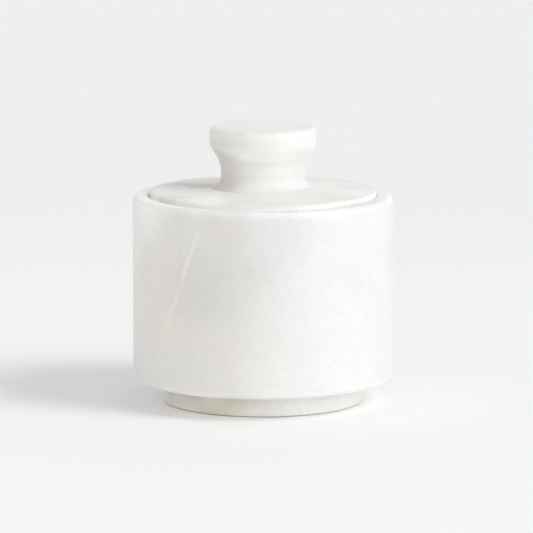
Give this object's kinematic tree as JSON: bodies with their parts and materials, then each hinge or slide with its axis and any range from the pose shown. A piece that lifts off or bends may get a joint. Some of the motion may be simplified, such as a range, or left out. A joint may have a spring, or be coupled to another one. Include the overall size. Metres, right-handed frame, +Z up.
{
  "type": "lidded salt cellar",
  "caption": "Straight thick-walled stone jar on a recessed round foot, with a gently domed drop-in lid lifted by a flared round knob.",
  "frame": {"origin": "on the table, under the middle of the foot", "axes": "+Z up along the axis of the jar, foot, lid and knob"},
  "size_m": [0.095, 0.095, 0.1017],
  "materials": {
    "jar_marble": "honed, very light clouding",
    "foot_marble": "honed, slightly warmer",
    "lid_marble": "honed, faint warm streaks",
    "knob_marble": "honed",
    "pad_rubber": "matt",
    "pin_steel": "plain turned"
  },
  "bodies": {
    "cellar": {"jar_body": "jar_marble", "foot_disc": "foot_marble", "foot_pad_1": "pad_rubber", "foot_pad_2": "pad_rubber", "foot_pad_3": "pad_rubber", "foot_pad_4": "pad_rubber"},
    "lid": {"lid_plate": "lid_marble", "lid_knob": "knob_marble", "knob_pin": "pin_steel"}
  },
  "joints": [
    {"name": "lid_lift", "type": "slide", "parent": "cellar", "child": "lid", "axis": [0, 0, 1], "range_m": [0, 0.08]}
  ]
}
